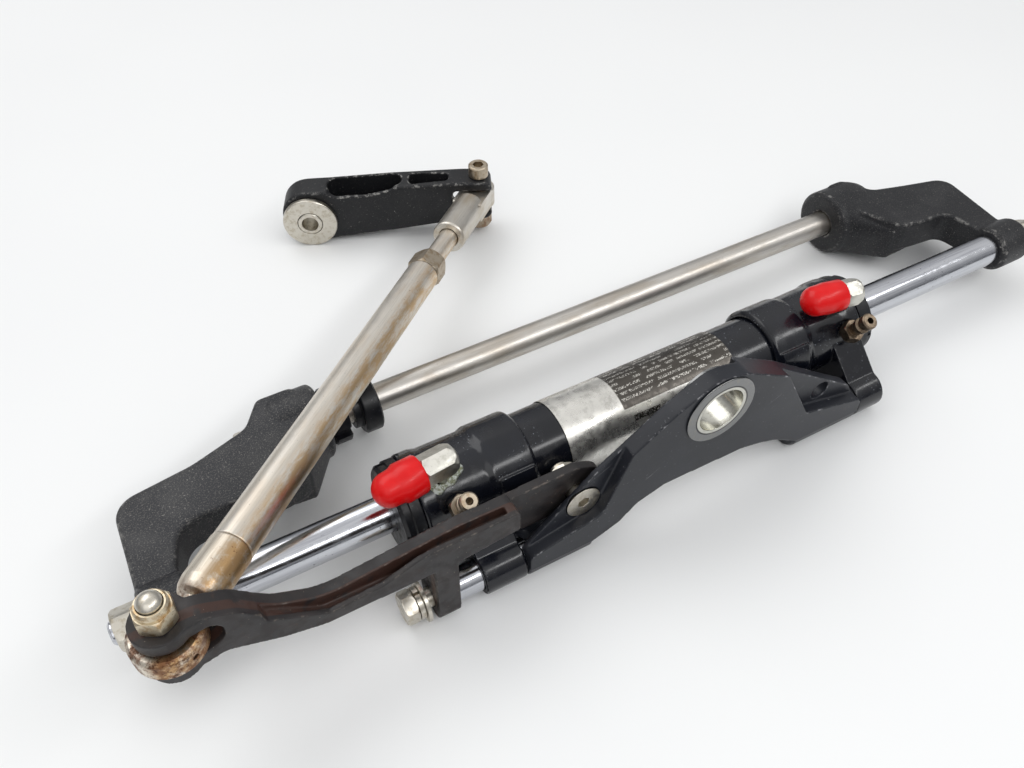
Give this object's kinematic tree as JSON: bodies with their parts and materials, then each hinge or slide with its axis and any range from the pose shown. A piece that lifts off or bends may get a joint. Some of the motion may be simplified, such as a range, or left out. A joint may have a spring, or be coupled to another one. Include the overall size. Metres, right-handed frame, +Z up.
{
  "type": "marine outboard steering cylinder kit",
  "caption": "Balanced hydraulic steering cylinder on a fixed rod between cast brackets, with support rod, hinged plate, forged arm, tie bar and link arm.",
  "frame": {"origin": "centre of the bounding box's footprint, on the surface the kit lies on", "axes": "+X along the piston rod from the forked arm's end to the other end, +Y from the pivot plate to the support rod, +Z up"},
  "size_m": [0.573, 0.3352, 0.1032],
  "materials": {
    "cast_black": "matte painted casting",
    "forged_black": "satin black oxide forging",
    "plate_black": "satin black anodised",
    "anodised_black": "glossy black anodised",
    "chrome": "hard chrome",
    "brushed_steel": "brushed stainless",
    "stainless": "machined stainless",
    "foil": "satin foil",
    "bronze": "dulled bronze",
    "zinc_yellow": "yellow zinc plated",
    "rusty_steel": "plated steel with light rust",
    "black_plastic": "black engineering plastic",
    "red_plastic": "soft glossy vinyl"
  },
  "bodies": {
    "support_frame": {"flanged_collar": "black_plastic", "left_bracket": "cast_black", "notched_collar": "black_plastic", "piston": "stainless", "piston_rod": "chrome", "piston_rod_nut_left": "stainless", "piston_rod_nut_right": "stainless", "right_bracket": "cast_black", "support_rod": "brushed_steel", "support_rod_nut_left": "stainless", "support_rod_nut_right": "stainless"},
    "cylinder": {"barrel": "anodised_black", "barrel_label": "foil", "left_bleeder": "stainless", "left_end_cap": "anodised_black", "left_gland_nut": "black_plastic", "left_pivot_bush": "black_plastic", "left_port_elbow": "stainless", "right_bleeder": "bronze", "right_end_cap": "anodised_black", "right_gland_nut": "black_plastic", "right_pivot_bush": "black_plastic", "right_port_elbow": "stainless"},
    "left_plug": {"left_port_cap": "red_plastic"},
    "right_plug": {"right_port_cap": "red_plastic"},
    "pivot_plate_body": {"bracket_bolt": "stainless", "clevis_bolt": "stainless", "countersunk_nut": "stainless", "countersunk_screw": "stainless", "flat_washer": "stainless", "left_pivot_pin": "chrome", "nylock_nut": "zinc_yellow", "pivot_plate": "plate_black", "right_pivot_pin": "chrome", "spring_washer": "stainless", "tie_bar_bracket": "forged_black", "tiller_bushing": "stainless"},
    "ball_body": {"spherical_ball": "stainless"},
    "tie_bar_body": {"jam_nut": "rusty_steel", "rod_end": "rusty_steel", "tie_bar_stud": "brushed_steel", "tie_bar_tube": "brushed_steel"},
    "clevis_body": {"swivel_clevis": "stainless"},
    "link_body": {"eye_bushing": "stainless", "front_washer": "stainless", "link_arm": "cast_black", "link_pin_bolt": "bronze", "link_pin_nut": "rusty_steel", "rear_washer": "stainless"}
  },
  "joints": [
    {"name": "cylinder_slide", "type": "slide", "parent": "support_frame", "child": "cylinder", "axis": [1, 0, 0], "range_m": [-0.093, 0.11]},
    {"name": "plate_hinge", "type": "hinge", "parent": "cylinder", "child": "pivot_plate_body", "pos_m": [-0.0055, -0.14994, 0.011], "axis": [1, 0, 0], "range_deg": [0, 90]},
    {"name": "ball_swing", "type": "hinge", "parent": "pivot_plate_body", "child": "ball_body", "pos_m": [-0.2615, -0.15304, 0.0737], "axis": [0, 0, 1], "range_deg": [0, 60]},
    {"name": "ball_tilt", "type": "hinge", "parent": "ball_body", "child": "tie_bar_body", "pos_m": [-0.2615, -0.15304, 0.0737], "axis": [0.6915, -0.7224, 0], "range_deg": [0, 6]},
    {"name": "clevis_swivel", "type": "hinge", "parent": "tie_bar_body", "child": "clevis_body", "pos_m": [0.0043, 0.10136, 0.0272], "axis": [0.7167, 0.686, -0.1254], "range_deg": [-60, 60]},
    {"name": "link_hinge", "type": "hinge", "parent": "clevis_body", "child": "link_body", "pos_m": [0.0043, 0.10136, 0.0272], "axis": [0, 0, 1], "range_deg": [-120, 6]},
    {"name": "left_cap_pull", "type": "slide", "parent": "cylinder", "child": "left_plug", "axis": [-0.9954, -0.0958, 0], "range_m": [0, 0.03]},
    {"name": "right_cap_pull", "type": "slide", "parent": "cylinder", "child": "right_plug", "axis": [-0.9848, 0.1736, 0], "range_m": [0, 0.03]}
  ]
}
